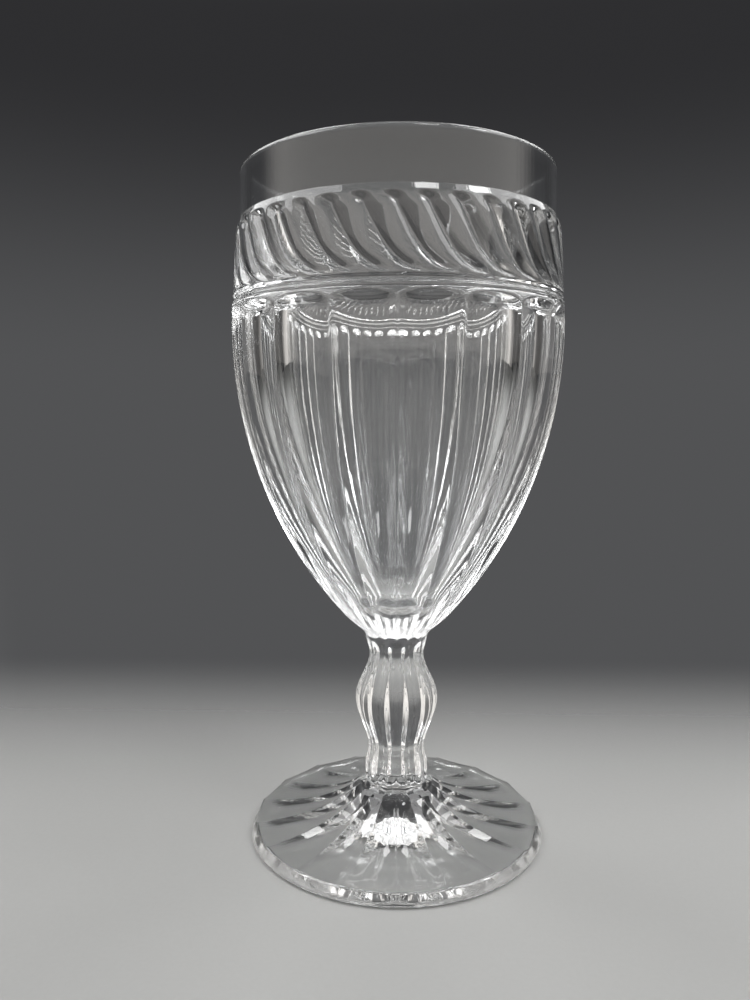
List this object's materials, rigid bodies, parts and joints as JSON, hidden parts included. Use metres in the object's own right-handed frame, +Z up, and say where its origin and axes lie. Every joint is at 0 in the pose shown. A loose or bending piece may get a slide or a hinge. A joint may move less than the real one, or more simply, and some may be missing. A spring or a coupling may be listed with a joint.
{
  "type": "iced tea glass",
  "caption": "Footed iced tea glass in clear pressed glass: a deeply fluted tapering bowl under a plain ring and a band of leaning lobes, a panelled baluster stem and a low panelled foot.",
  "frame": {"origin": "middle of the face that the foot rests on", "axes": "+Z up along the glass's axis, -Y to the front, where a ridge between two flutes faces the viewer"},
  "size_m": [0.0872, 0.0874, 0.178],
  "materials": {
    "clear_glass": "clear colourless pressed glass, fire-polished"
  },
  "bodies": {
    "root": {"foot": "clear_glass", "stem": "clear_glass", "bowl": "clear_glass"}
  },
  "joints": []
}
